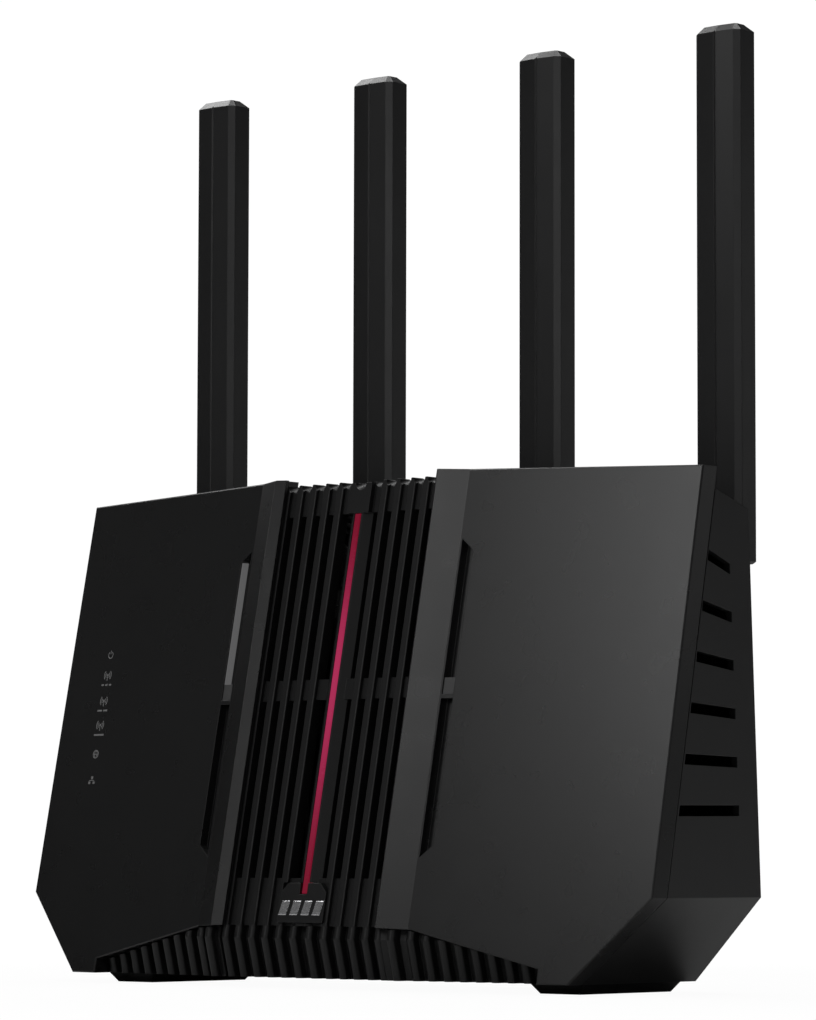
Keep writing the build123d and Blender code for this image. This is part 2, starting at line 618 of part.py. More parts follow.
def jack_block(xs, half_width):
    """Block of modular jacks standing on the board."""
    middle = sum(xs) / len(xs)
    with BuildPart() as block:
        bar(middle - half_width, middle + half_width, BOARD_BACK_Y, BEZEL_Y + 0.4,
            JACK_Z - JACK_HEIGHT / 2, JACK_Z + JACK_HEIGHT / 2)
        for x in xs:
            jack_mouth(x)
    return block.part


save("lan_jacks", jack_block(LAN_XS, LAN_HALF))
save("wan_jack", jack_block([WAN_X], WAN_HALF))

with BuildPart() as usb_port:
    half_x, half_z = USB_WIDTH / 2, USB_HEIGHT / 2
    bar(USB_X - half_x, USB_X + half_x, BOARD_BACK_Y, BEZEL_Y + 0.4, JACK_Z - half_z, JACK_Z + half_z)
    bar(USB_X - 6.2, USB_X + 6.2, BEZEL_Y - 12, BEZEL_Y + 2, JACK_Z - 2.6, JACK_Z + 2.6, mode=Mode.SUBTRACT)
    bar(USB_X - 5.6, USB_X + 5.6, BEZEL_Y - 13, BEZEL_Y - 1, JACK_Z + 0.6, JACK_Z + 2.4)
save("usb_port", usb_port.part)

with BuildPart() as dc_inlet:
    half_x, half_z = INLET_WIDTH / 2, INLET_HEIGHT / 2
    bar(INLET_X - half_x, INLET_X + half_x, BOARD_BACK_Y, BEZEL_Y + 0.4, JACK_Z - half_z, JACK_Z + half_z)
    with BuildSketch(facing_front(BEZEL_Y + 1)):
        with Locations((INLET_X, JACK_Z)):
            Circle(3.2)
            Circle(1.0, mode=Mode.SUBTRACT)
    extrude(amount=11, mode=Mode.SUBTRACT)
    with BuildSketch(facing_front(BEZEL_Y + 1)):
        with Locations((INLET_X, JACK_Z)):
            Circle(3.2)
    extrude(amount=2.5, mode=Mode.SUBTRACT)
save("dc_inlet", dc_inlet.part)

# ---- Buttons and the switches that they press -------------------------------------------------
SWITCH_TOP_Y = BOARD_BACK_Y + 5.6
COLLAR_YS = (BEZEL_FRONT_Y - 2.0, BEZEL_FRONT_Y - SHUT_LINE)
BUTTON_FOOT_Y = {"power": SWITCH_TOP_Y + 2.3, "wps": SWITCH_TOP_Y + 1.3, "reset": SWITCH_TOP_Y + 1.3}


def make_switch(x, z):
    """Push switch on the board: a square body with a round plunger."""
    with BuildPart() as switch:
        bar(x - 3, x + 3, BOARD_BACK_Y, BOARD_BACK_Y + 3.6, z - 3, z + 3)
        with BuildSketch(facing_front(SWITCH_TOP_Y)):
            with Locations((x, z)):
                Circle(1.6)
        extrude(amount=2.5)
    return switch.part


save("power_switch", make_switch(POWER_X, JACK_Z))
save("wps_switch", make_switch(SIDE_BUTTON_X, WPS_Z))
save("reset_switch", make_switch(SIDE_BUTTON_X, RESET_Z))

with BuildPart() as power_button:
    half_x, half_z = POWER_WIDTH / 2, POWER_HEIGHT / 2
    bar(POWER_X - half_x, POWER_X + half_x, 21.2, BEZEL_Y + 2.4, JACK_Z - half_z, JACK_Z + half_z)
    chamfer(power_button.faces().sort_by(Axis.Y)[-1].edges(), length=0.5)
    bar(POWER_X - half_x - 1.2, POWER_X + half_x + 1.2, COLLAR_YS[0], COLLAR_YS[1],
        JACK_Z - half_z - 1.2, JACK_Z + half_z + 1.2)
    bar(POWER_X - 2, POWER_X + 2, BUTTON_FOOT_Y["power"], COLLAR_YS[1], JACK_Z - 2, JACK_Z + 2)
save("power_button", power_button.part)


def make_round_button(radius, z, top_y, foot_y):
    """Round button with a retaining collar and a stem that reaches its switch."""
    rounds = (
        (radius, top_y, 23.2), (radius + 1.2, COLLAR_YS[1], COLLAR_YS[0]), (1.1, 23.2, foot_y),
    )
    with BuildPart() as button:
        for r, y1, y0 in rounds:
            with BuildSketch(facing_front(y1)):
                with Locations((SIDE_BUTTON_X, z)):
                    Circle(r)
            extrude(amount=y1 - y0)
    return button.part


save("wps_button", make_round_button(WPS_R, WPS_Z, BEZEL_Y + 1.4, BUTTON_FOOT_Y["wps"]))
save("reset_button", make_round_button(RESET_R, RESET_Z, BEZEL_Y - 0.6, BUTTON_FOOT_Y["reset"]))

# ---- Electronics --------------------------------------------------------------------------
BOARD_X = 100.0
BOARD_ZS = (8.0, 130.0)
SINK_X = 62.0
SINK_ZS = (40.0, 120.0)
SINK_BASE = 2.0
SINK_FIN_TIP_Y = -9.8
CHIP = 22.0
CHIP_HEIGHT = 1.8
PAD = 1.0

with BuildPart() as main_board:
    bar(-BOARD_X, BOARD_X, BOARD_Y, BOARD_BACK_Y, *BOARD_ZS)
    with BuildSketch(facing_front(BOARD_BACK_Y + 1)):
        for x in BOARD_POST_XS:
            for z in BOARD_POST_ZS:
                with Locations((x, z)):
                    Circle(1.6)
    extrude(amount=5, mode=Mode.SUBTRACT)
save("main_board", main_board.part)

with BuildPart() as board_screws:
    for x in BOARD_POST_XS:
        for z in BOARD_POST_ZS:
            with BuildSketch(facing_front(BOARD_Y)):
                with Locations((x, z)):
                    Circle(2.8)
            extrude(amount=1.8)
            with BuildSketch(facing_front(BOARD_BACK_Y + 7)):
                with Locations((x, z)):
                    Circle(1.2)
            extrude(amount=7 + BOARD_THICKNESS)
save("board_screws", board_screws.part)

with BuildPart() as processor_chip:
    bar(-CHIP / 2, CHIP / 2, BOARD_Y - CHIP_HEIGHT, BOARD_Y, 80 - CHIP / 2, 80 + CHIP / 2)
save("processor_chip", processor_chip.part)

with BuildPart() as thermal_pad:
    bar(-CHIP / 2 - 2, CHIP / 2 + 2, BOARD_Y - CHIP_HEIGHT - PAD, BOARD_Y - CHIP_HEIGHT,
        80 - CHIP / 2 - 2, 80 + CHIP / 2 + 2)
save("thermal_pad", thermal_pad.part)

with BuildPart() as heat_sink:
    sink_back = BOARD_Y - CHIP_HEIGHT - PAD
    bar(-SINK_X, SINK_X, sink_back - SINK_BASE, sink_back, *SINK_ZS)
    fin_count = 21
    for k in range(fin_count):
        x = -SINK_X + 1 + (2 * SINK_X - 2) * k / (fin_count - 1)
        bar(x - 0.7, x + 0.7, SINK_FIN_TIP_Y, sink_back - SINK_BASE, *SINK_ZS)
    for x in both_sides([SINK_X - 6]):
        for z in (SINK_ZS[0] + 5, SINK_ZS[1] - 5):
            bar(x - 1.6, x + 1.6, sink_back, BOARD_Y, z - 1.6, z + 1.6)
save("heat_sink", heat_sink.part)

with BuildPart() as radio_shields:
    for x in (-62.0, 0.0, 62.0):
        bar(x - 24, x + 24, BOARD_BACK_Y, BOARD_BACK_Y + 3.4, 92, 122)
save("radio_shields", radio_shields.part)

# ---- Status lights behind the left wing ---------------------------------------------------
STATUS_X = -112.0
STATUS_ZS = (110.6, 103.2, 94.4, 86.1, 76.6, 67.8)
PIPE_LENGTH = 3.0


def behind_left_wing(x0, x1, near, far):
    """Plan section of a layer between two distances behind the left wing's face."""
    return polygon(Plane.XY, [
        (x0, wing_y(x0) + near), (x1, wing_y(x1) + near), (x1, wing_y(x1) + far), (x0, wing_y(x0) + far),
    ])


with BuildSketch(facing_front(0)) as pipe_face:
    for z in STATUS_ZS:
        with Locations((STATUS_X, z)):
            Rectangle(4.0, 4.0)
near = WALL + 0.2
save("status_light_guides", leaning(
    behind_left_wing(STATUS_X - 2, STATUS_X + 2, near, near + PIPE_LENGTH), pipe_face.sketch))
save("status_light_board", leaning(
    behind_left_wing(STATUS_X - 5, STATUS_X + 5, near + PIPE_LENGTH + 0.2, near + PIPE_LENGTH + 1.4),
    polygon(facing_front(0), [
        (STATUS_X - 5, 62), (STATUS_X + 5, 62), (STATUS_X + 5, 113.8), (STATUS_X - 5, 113.8),
    ])))

# ---- Feet ---------------------------------------------------------------------------------
FOOT_X = 92.0
FOOT_WIDTH, FOOT_LENGTH = 16.0, 45.0


def make_foot(x):
    """Rubber foot, wider where it meets the base."""
    with BuildPart() as foot:
        with BuildSketch(Plane.XY):
            with Locations((x, 1.7)):
                Rectangle(FOOT_WIDTH, FOOT_LENGTH)
        extrude(amount=FOOT_HEIGHT, taper=-35)
    return foot.part


save("left_foot", make_foot(-FOOT_X))
save("right_foot", make_foot(FOOT_X))

with BuildPart() as rating_label:
    with BuildSketch(Plane.XY.offset(FOOT_HEIGHT)):
        with Locations((0, 18.7)):
            Rectangle(90, 16)
    extrude(amount=-0.25)
save("rating_label", rating_label.part)

# ---- Antennas -----------------------------------------------------------------------------
FORK_X = 4.3               # half width of the gap between the fork's ears
TONGUE_X = 4.0
TONGUE_R = 4.6
PIN_R = 1.5
FORK_TOP_Z = 147.0
FLANGE_R = 8.0
FLANGE_YS = (BOSS_FACE_Y + 0.3, 29.2)
CLIP_YS = (17.4, 18.6)
SHAFT_END_Y = 16.2
GROOVE_R = 4.9
COVER_X = 7.0
COVER_THICKNESS = 1.4
COVER_ZS = (150.0, 304.5)
SHELL_WALL = 1.5
RIDGE_FALL = 0.45          # the front falls this far from its ridge to the bevels
PIN_HALF = 8.0


def antenna_section(x):
    """Section of an antenna: a shallow ridge down the front and bevelled front corners."""
    half = ANTENNA_WIDTH / 2
    bevel = 1.8
    return polygon(Plane.XY.offset(ANTENNA_FOOT_Z), [
        (x, ANTENNA_FRONT_Y), (x + half - bevel, ANTENNA_FRONT_Y + RIDGE_FALL),
        (x + half, ANTENNA_FRONT_Y + RIDGE_FALL + bevel), (x + half, HALF_DEPTH), (x - half, HALF_DEPTH),
        (x - half, ANTENNA_FRONT_Y + RIDGE_FALL + bevel), (x - half + bevel, ANTENNA_FRONT_Y + RIDGE_FALL),
    ])


def make_antenna_shell(x):
    """Long shell, open behind for its cover, with a fork for the swivel's tongue at its foot."""
    with BuildPart() as shell:
        extrude(antenna_section(x), amount=ANTENNA_TOP_Z - ANTENNA_FOOT_Z)
        chamfer(shell.faces().sort_by(Axis.Z)[-1].edges(), length=2.4)
        chamfer(shell.faces().sort_by(Axis.Z)[0].edges(), length=0.8)
        # a fine groove runs down the ridge
        groove = polygon(Plane.XY.offset(ANTENNA_FOOT_Z - 1), [
            (x - 0.6, ANTENNA_FRONT_Y - 0.2), (x + 0.6, ANTENNA_FRONT_Y - 0.2), (x, ANTENNA_FRONT_Y + 0.5),
        ])
        extrude(groove, amount=ANTENNA_TOP_Z - ANTENNA_FOOT_Z + 2, mode=Mode.SUBTRACT)
        inner = COVER_X - 0.6
        bar(x - inner, x + inner, ANTENNA_FRONT_Y + RIDGE_FALL + SHELL_WALL, HALF_DEPTH + 1,
            COVER_ZS[0] + 1.2, COVER_ZS[1] - 1.2, mode=Mode.SUBTRACT)
        bar(x - COVER_X, x + COVER_X, HALF_DEPTH - COVER_THICKNESS, HALF_DEPTH + 1, *COVER_ZS,
            mode=Mode.SUBTRACT)
        bar(x - FORK_X, x + FORK_X, 20, 60, ANTENNA_FOOT_Z - 2, FORK_TOP_Z, mode=Mode.SUBTRACT)
        # the pin's bore stops inside both ears
        with BuildSketch(Plane.YZ.offset(x - PIN_HALF - 0.1)):
            with Locations((PIVOT_Y, PIVOT_Z)):
                Circle(PIN_R)
        extrude(amount=2 * PIN_HALF + 0.2, mode=Mode.SUBTRACT)
    return shell.part


def make_swivel(x):
    """Shaft that turns in the housing's boss, with a flange outside and a tongue for the hinge."""
    with BuildPart() as swivel:
        rounds = ((SHAFT_R, FLANGE_YS[0] + 0.5, SHAFT_END_Y), (FLANGE_R, FLANGE_YS[1], FLANGE_YS[0]))
        for r, y1, y0 in rounds:
            with BuildSketch(facing_front(y1)):
                with Locations((x, PIVOT_Z)):
                    Circle(r)
            extrude(amount=y1 - y0)
        with BuildSketch(facing_front(CLIP_YS[1])):
            with Locations((x, PIVOT_Z)):
                Circle(SHAFT_R + 2)
                Circle(GROOVE_R, mode=Mode.SUBTRACT)
        extrude(amount=CLIP_YS[1] - CLIP_YS[0], mode=Mode.SUBTRACT)
        bar(x - TONGUE_X, x + TONGUE_X, FLANGE_YS[1] - 0.5, PIVOT_Y, PIVOT_Z - TONGUE_R, PIVOT_Z + TONGUE_R)
        with BuildSketch(Plane.YZ.offset(x - TONGUE_X)):
            with Locations((PIVOT_Y, PIVOT_Z)):
                Circle(TONGUE_R)
        extrude(amount=2 * TONGUE_X)
        with BuildSketch(Plane.YZ.offset(x - 10)):
            with Locations((PIVOT_Y, PIVOT_Z)):
                Circle(PIN_R + RUNNING_GAP)
        extrude(amount=20, mode=Mode.SUBTRACT)
    return swivel.part


def make_clip(x):
    """Open ring that keeps the swivel in its boss."""
    with BuildPart() as clip:
        with BuildSketch(facing_front(CLIP_YS[1] - 0.1)):
            with Locations((x, PIVOT_Z)):
                Circle(SHAFT_R + 1.8)
                Circle(GROOVE_R + 0.05, mode=Mode.SUBTRACT)
            with Locations((x, PIVOT_Z - 5)):
                Rectangle(5, 8, mode=Mode.SUBTRACT)
        extrude(amount=CLIP_YS[1] - CLIP_YS[0] - 0.2)
    return clip.part


for place, x in ANTENNA_XS.items():
    save(f"{place}_antenna_shell", make_antenna_shell(x))
    with BuildPart() as cover:
        bar(x - COVER_X + 0.1, x + COVER_X - 0.1, HALF_DEPTH - COVER_THICKNESS, HALF_DEPTH,
            COVER_ZS[0] + 0.1, COVER_ZS[1] - 0.1)
    save(f"{place}_antenna_cover", cover.part)
    with BuildPart() as element:
        bar(x - 5, x + 5, 38.0, 39.0, 154, 300)
    save(f"{place}_antenna_element", element.part)
    save(f"{place}_swivel", make_swivel(x))
    save(f"{place}_swivel_clip", make_clip(x))
    with BuildPart() as pin:
        with BuildSketch(Plane.YZ.offset(x - PIN_HALF)):
            with Locations((PIVOT_Y, PIVOT_Z)):
                Circle(PIN_R)
        extrude(amount=2 * PIN_HALF)
    save(f"{place}_hinge_pin", pin.part)

# leads from the board to the swivels, each held inside the housing
LEAD_R = 0.7
with BuildPart() as antenna_leads:
    for x in ANTENNA_XS.values():
        start_x = 88.0 if abs(x) > 60 else 45.0
        start_x = start_x if x > 0 else -start_x
        route = [
            (start_x, BOARD_BACK_Y, 126.5), (start_x, 10.2, 126.5),
            (x, 10.2, 139.0), (x, SHAFT_END_Y - 0.3, 139.6),
        ]
        with BuildLine() as lead_line:
            FilletPolyline(*route, radius=2.2)
        with BuildSketch(Plane(origin=route[0], z_dir=(0, 1, 0))):
            Circle(LEAD_R)
        sweep(path=lead_line.line)
save("antenna_leads", antenna_leads.part)
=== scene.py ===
"""Looks of the upright wireless router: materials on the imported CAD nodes, the printed marks,
contacts and small components that the CAD leaves out, and a plain studio.

Metres throughout.  +X is to the right seen from the front, +Y goes to the back and +Z is up.
"""

import json
import math
import random

import bmesh
import bpy
from mathutils import Matrix, Vector
from mathutils.bvhtree import BVHTree


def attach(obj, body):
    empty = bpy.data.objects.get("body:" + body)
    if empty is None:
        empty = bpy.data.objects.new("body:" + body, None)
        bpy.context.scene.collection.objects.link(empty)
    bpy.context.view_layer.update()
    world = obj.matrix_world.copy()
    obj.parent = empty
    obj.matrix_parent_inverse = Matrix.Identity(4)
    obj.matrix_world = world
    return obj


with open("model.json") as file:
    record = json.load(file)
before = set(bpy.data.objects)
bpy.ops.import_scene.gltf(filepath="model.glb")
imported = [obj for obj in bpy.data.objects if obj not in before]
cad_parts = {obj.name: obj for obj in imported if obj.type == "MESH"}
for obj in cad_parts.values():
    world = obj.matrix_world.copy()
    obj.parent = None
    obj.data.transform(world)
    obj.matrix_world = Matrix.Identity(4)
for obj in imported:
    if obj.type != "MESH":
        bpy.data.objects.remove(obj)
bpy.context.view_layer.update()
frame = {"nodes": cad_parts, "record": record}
nodes = frame["nodes"]
random.seed(7)

MM = 0.001
ROUTER = "router"

# heights in the CAD that the lit strip and the painted glow on the accent follow, in millimetres
STRIP_ZS = (30.3, 153.6)
ACCENT_BLOCK_TOP_Z = 98.7


# ---- Materials ------------------------------------------------------------------------------
class Paint:
    """A node material being put together.  Patterns use object coordinates in millimetres."""

    def __init__(self, name):
        self.material = bpy.data.materials.new(name)
        self.material.use_nodes = True
        self.tree = self.material.node_tree
        self.bsdf = self.tree.nodes["Principled BSDF"]
        place = self.new("ShaderNodeTexCoord")
        self.mm = self.new("ShaderNodeVectorMath", operation="SCALE")
        self.mm.inputs["Scale"].default_value = 1 / MM
        self.link(place.outputs["Object"], self.mm.inputs[0])

    def new(self, kind, **settings):
        node = self.tree.nodes.new(kind)
        for key, value in settings.items():
            setattr(node, key, value)
        return node

    def link(self, source, target):
        self.tree.links.new(source, target)

    def set(self, **values):
        """Constants on the shader's own sockets, by their names with _ for a space."""
        for key, value in values.items():
            self.bsdf.inputs[key.replace("_", " ")].default_value = value
        return self

    def noise(self, size, detail=2.0, stretch=(1, 1, 1)):
        """Noise from 0 to 1 with features of about the given size in mm."""
        scaled = self.new("ShaderNodeVectorMath", operation="MULTIPLY")
        scaled.inputs[1].default_value = [s / size for s in stretch]
        self.link(self.mm.outputs[0], scaled.inputs[0])
        texture = self.new("ShaderNodeTexNoise")
        texture.inputs["Scale"].default_value = 1.0
        texture.inputs["Detail"].default_value = detail
        self.link(scaled.outputs[0], texture.inputs["Vector"])
        return texture.outputs["Fac"]

    def spread(self, source, low, high, start=0.3, end=0.7):
        """Carries start..end of a value to low..high."""
        node = self.new("ShaderNodeMapRange")
        for key, value in (("From Min", start), ("From Max", end), ("To Min", low), ("To Max", high)):
            node.inputs[key].default_value = value
        self.link(source, node.inputs["Value"])
        return node.outputs["Result"]

    def blend(self, amount, dark, light):
        """Colour between two colours, by a value from 0 to 1."""
        node = self.new("ShaderNodeMix", data_type="RGBA")
        self.link(amount, node.inputs["Factor"])
        for socket, colour in (("A", dark), ("B", light)):
            target = [i for i in node.inputs if i.name == socket and i.type == "RGBA"][0]
            if isinstance(colour, (tuple, list)):
                target.default_value = (*colour, 1)
            else:
                self.link(colour, target)
        return [o for o in node.outputs if o.type == "RGBA"][0]

    def colour(self, source):
        self.link(source, self.bsdf.inputs["Base Color"])

    def roughness(self, source):
        self.link(source, self.bsdf.inputs["Roughness"])

    def relief(self, height, depth_mm, strength=1.0, edge_mm=None):
        """Bump of the given depth, over edges rounded by edge_mm."""
        bump = self.new("ShaderNodeBump")
        bump.inputs["Strength"].default_value = strength
        bump.inputs["Distance"].default_value = depth_mm * MM
        self.link(height, bump.inputs["Height"])
        if edge_mm:
            edge = self.new("ShaderNodeBevel", samples=4)
            edge.inputs["Radius"].default_value = edge_mm * MM
            self.link(edge.outputs["Normal"], bump.inputs["Normal"])
        self.link(bump.outputs["Normal"], self.bsdf.inputs["Normal"])

    def edge_mask(self, radius_mm):
        """1 on sharp edges, 0 on flat faces."""
        edge = self.new("ShaderNodeBevel", samples=4)
        edge.inputs["Radius"].default_value = radius_mm * MM
        flat = self.new("ShaderNodeNewGeometry")
        dot = self.new("ShaderNodeVectorMath", operation="DOT_PRODUCT")
        self.link(edge.outputs["Normal"], dot.inputs[0])
        self.link(flat.outputs["Normal"], dot.inputs[1])
        return self.spread(dot.outputs["Value"], 1.0, 0.0, 0.90, 0.995)


def moulded(name, base, rough, grain=0.3, depth=0.012, edge=0.3, wear=1.5, specular=0.5):
    """Moulded plastic: spark-eroded grain, faint flow variation and edges rubbed a little paler."""
    paint = Paint(name)
    flow = paint.noise(38.0, 3.0)
    fine = paint.noise(grain, 1.0)
    body = paint.blend(paint.spread(flow, 0, 1), [c * 0.88 for c in base], [c * 1.1 for c in base])
    body = paint.blend(paint.edge_mask(edge), body, [min(1, c * wear + 0.002) for c in base])
    paint.colour(body)
    smudge = paint.noise(12.0, 2.0)
    paint.roughness(paint.spread(smudge, rough - 0.010, rough + 0.010))
    paint.relief(fine, depth, edge_mm=edge)
    return paint.set(Specular_IOR_Level=specular).material


def metal(name, base, rough, brushed=(1, 1, 1), grain=0.25):
    """Plated or cast metal with fine marks along its working direction."""
    paint = Paint(name)
    marks = paint.noise(grain, 3.0, brushed)
    paint.colour(paint.blend(paint.spread(marks, 0, 1), [c * 0.82 for c in base], base))
    paint.roughness(paint.spread(marks, rough - 0.07, rough + 0.09))
    paint.relief(marks, 0.006, edge_mm=0.15)
    return paint.set(Metallic=1.0).material


def rubber(name, base, rough=0.78):
    """Matt rubber with a pebbled skin."""
    paint = Paint(name)
    skin = paint.noise(0.55, 2.0)
    paint.colour(paint.blend(paint.spread(skin, 0, 1), [c * 0.8 for c in base], [c * 1.25 for c in base]))
    paint.roughness(paint.spread(paint.noise(6.0), rough - 0.05, rough + 0.05))
    paint.relief(skin, 0.03)
    return paint.material


def circuit_board(name):
    """Black solder mask over copper traces."""
    paint = Paint(name)
    traces = paint.new("ShaderNodeTexBrick", offset=0.37, squash=1.0)
    for key, value in (("Scale", 1.0), ("Mortar Size", 0.09), ("Brick Width", 7.0), ("Row Height", 0.9)):
        traces.inputs[key].default_value = value
    turned = paint.new("ShaderNodeMapping")
    turned.inputs["Rotation"].default_value = (math.radians(90), 0, 0)
    paint.link(paint.mm.outputs[0], turned.inputs["Vector"])
    paint.link(turned.outputs["Vector"], traces.inputs["Vector"])
    patches = paint.spread(paint.noise(14.0), 0, 1)
    mask = paint.blend(patches, (0.005, 0.0055, 0.006), (0.007, 0.0078, 0.0085))
    paint.colour(paint.blend(traces.outputs["Fac"], mask, (0.012, 0.011, 0.009)))
    paint.roughness(paint.spread(paint.noise(4.0), 0.26, 0.38))
    paint.relief(traces.outputs["Fac"], 0.02)
    return paint.material


def light_lens(name):
    """Crimson light guide, lit along its length and pinkest a little above the middle."""
    paint = Paint(name)
    split = paint.new("ShaderNodeSeparateXYZ")
    paint.link(paint.mm.outputs[0], split.inputs[0])
    along = paint.spread(split.outputs["Z"], 0, 1, *STRIP_ZS)
    ramp = paint.new("ShaderNodeValToRGB")
    ramp.color_ramp.interpolation = "EASE"
    deep, pink = (0.14, 0.004, 0.015), (0.34, 0.023, 0.078)
    stops = ((0.0, deep), (0.57, pink), (1.0, deep))
    points = ramp.color_ramp.elements
    while len(points) < len(stops):
        points.new(0.5)
    for point, (spot, colour) in zip(points, stops):
        point.position = spot
        point.color = (*colour, 1)
    paint.link(along, ramp.inputs["Fac"])
    paint.link(ramp.outputs["Color"], paint.bsdf.inputs["Emission Color"])
    cloud = paint.spread(paint.noise(5.0), 0, 1)
    paint.colour(paint.blend(cloud, (0.045, 0.002, 0.010), (0.06, 0.003, 0.014)))
    paint.roughness(paint.spread(paint.noise(3.0), 0.22, 0.30))
    return paint.set(Emission_Strength=1.1, Specular_IOR_Level=0.25).material


def diffuser(name):
    """Grey accent, no lamp, with a faint painted glow above the block at its lower end standing in for the
    light it catches.
    """
    paint = Paint(name)
    split = paint.new("ShaderNodeSeparateXYZ")
    paint.link(paint.mm.outputs[0], split.inputs[0])
    # painted glow: emission above the block top paints the light on the accent, which is no lamp
    lit = paint.spread(split.outputs["Z"], 0, 1, ACCENT_BLOCK_TOP_Z - 0.1, ACCENT_BLOCK_TOP_Z + 0.1)
    glow = paint.blend(lit, (0.012, 0.012, 0.012), (0.095, 0.095, 0.096))
    paint.link(glow, paint.bsdf.inputs["Emission Color"])
    cloud = paint.spread(paint.noise(2.2, 3.0), 0, 1)
    paint.colour(paint.blend(cloud, (0.045, 0.045, 0.045), (0.055, 0.055, 0.056)))
    paint.roughness(paint.spread(paint.noise(0.5), 0.36, 0.46))
    return paint.set(Emission_Strength=1.0, Specular_IOR_Level=0.2).material


def clear_guide(name):
    """Clear acrylic light pipe, its roughness varying a little from place to place."""
    paint = Paint(name)
    paint.colour(paint.blend(paint.spread(paint.noise(1.0), 0, 1), (0.80, 0.82, 0.83), (0.9, 0.92, 0.93)))
    paint.roughness(paint.spread(paint.noise(0.8), 0.10, 0.30))
    return paint.set(Transmission_Weight=0.8, IOR=1.49).material


def printed_film(name, base):
    """Printed label film with a faint lay and dust."""
    paint = Paint(name)
    lay = paint.noise(3.0, 3.0, (0.2, 1, 1))
    paint.colour(paint.blend(paint.spread(lay, 0, 1), [c * 0.9 for c in base], base))
    paint.roughness(paint.spread(paint.noise(1.2), 0.42, 0.55))
    paint.relief(lay, 0.004)
    return paint.material


MATERIALS = {
    "wing": moulded("wing_plastic", (0.0080, 0.0080, 0.0082), 0.28, grain=0.28, depth=0.004),
    "grille": moulded(
        "grille_plastic", (0.0055, 0.0055, 0.0057), 0.40, grain=0.3, depth=0.008, specular=0.36,
    ),
    "badge": moulded(
        "badge_plastic", (0.0065, 0.0065, 0.0067), 0.36, grain=0.25, depth=0.006, specular=0.4,
    ),
    # the accent glows with painted light, not from a lamp
    "accent": diffuser("accent_painted_glow"),
    "light_lens": light_lens("light_strip_lens"),
    "circuit_board": circuit_board("circuit_board_mask"),
    "housing": moulded("housing_plastic", (0.0095, 0.0095, 0.0098), 0.42, grain=0.38, depth=0.012),
    "screw_steel": metal("zinc_steel", (0.42, 0.42, 0.43), 0.34),
    "bezel": moulded("bezel_plastic", (0.0105, 0.0105, 0.0108), 0.55, grain=0.35, depth=0.016),
    "jack": moulded("jack_plastic", (0.014, 0.014, 0.0145), 0.26, grain=0.8, depth=0.004, edge=0.15),
    "wan_jack": moulded("wan_jack_plastic", (0.022, 0.085, 0.34), 0.28, grain=0.8, depth=0.004, edge=0.15),
    "port_steel": metal("nickel_plate", (0.60, 0.59, 0.57), 0.28),
    "button": moulded("button_plastic", (0.017, 0.017, 0.0175), 0.36, grain=0.3, depth=0.008),
    "switch": moulded("switch_plastic", (0.03, 0.03, 0.03), 0.5, grain=0.5, depth=0.008),
    "chip": moulded("chip_epoxy", (0.022, 0.022, 0.023), 0.62, grain=0.15, depth=0.01, edge=0.1),
    "thermal_pad": rubber("thermal_silicone", (0.30, 0.42, 0.58), 0.7),
    "aluminium": metal("anodised_aluminium", (0.020, 0.020, 0.021), 0.42, (4, 4, 0.15), 0.5),
    "shield": metal("tinned_shield", (0.62, 0.61, 0.58), 0.30, (1, 1, 0.3), 0.7),
    "lead": rubber("lead_sheath", (0.02, 0.02, 0.02), 0.45),
    "light_guide": clear_guide("acrylic_guide"),
    "foot_rubber": rubber("foot_rubber_skin", (0.012, 0.012, 0.012)),
    "label": printed_film("label_film", (0.09, 0.09, 0.092)),
    "antenna": moulded("antenna_plastic", (0.0085, 0.0085, 0.0088), 0.32, grain=0.3, depth=0.007),
    "swivel": moulded("swivel_plastic", (0.0110, 0.0110, 0.0113), 0.44, grain=0.3, depth=0.010),
}

for subpart in frame["record"]["subparts"]:
    node = nodes[subpart["node"]]
    node.data.materials.clear()
    node.data.materials.append(MATERIALS[subpart["material_slot"]])

PRINT_INK = printed_film("print_ink", (0.20, 0.20, 0.20))
BACK_INK = printed_film("back_print_ink", (0.30, 0.30, 0.30))
CHROME = metal("badge_metal", (0.60, 0.60, 0.61), 0.24, (0.2, 1, 1), 0.4)
GOLD = metal("contact_gold", (0.85, 0.60, 0.24), 0.22)
CAN_SLEEVE = moulded("capacitor_sleeve", (0.012, 0.014, 0.03), 0.32, grain=0.6, depth=0.004)
FERRITE = moulded("ferrite", (0.03, 0.03, 0.032), 0.7, grain=0.2, depth=0.03)


# ---- Mesh helpers -----------------------------------------------------------------------------
def make_piece(name, bm, material, body=ROUTER):
    """Turns a bmesh in millimetres into a piece that rides on a CAD body."""
    bmesh.ops.scale(bm, vec=(MM, MM, MM), verts=bm.verts)
    bmesh.ops.recalc_face_normals(bm, faces=bm.faces)
    mesh = bpy.data.meshes.new(name)
    bm.to_mesh(mesh)
    bm.free()
    mesh.materials.append(material)
    piece = bpy.data.objects.new(name, mesh)
    bpy.context.scene.collection.objects.link(piece)
    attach(piece, body)
    return piece


class Skin:
    """The front of some CAD nodes, looked up by X and Z in millimetres."""

    def __init__(self, names):
        self.trees = []
        for name in names:
            mesh = nodes[name].data
            points = [v.co / MM for v in mesh.vertices]
            faces = [tuple(p.vertices) for p in mesh.polygons]
            self.trees.append(BVHTree.FromPolygons(points, faces))

    def at(self, x, z, way=(0, 1, 0), start=-200.0):
        """First point met from the front, and the normal there."""
        best = None
        for tree in self.trees:
            spot, normal, _, reach = tree.ray_cast(Vector((x, start, z)), Vector(way))
            if spot is not None and (best is None or reach < best[2]):
                best = (spot, normal, reach)
        spot, normal, _ = best
        if normal.dot(Vector(way)) > 0:
            normal = -normal
        return spot, normal


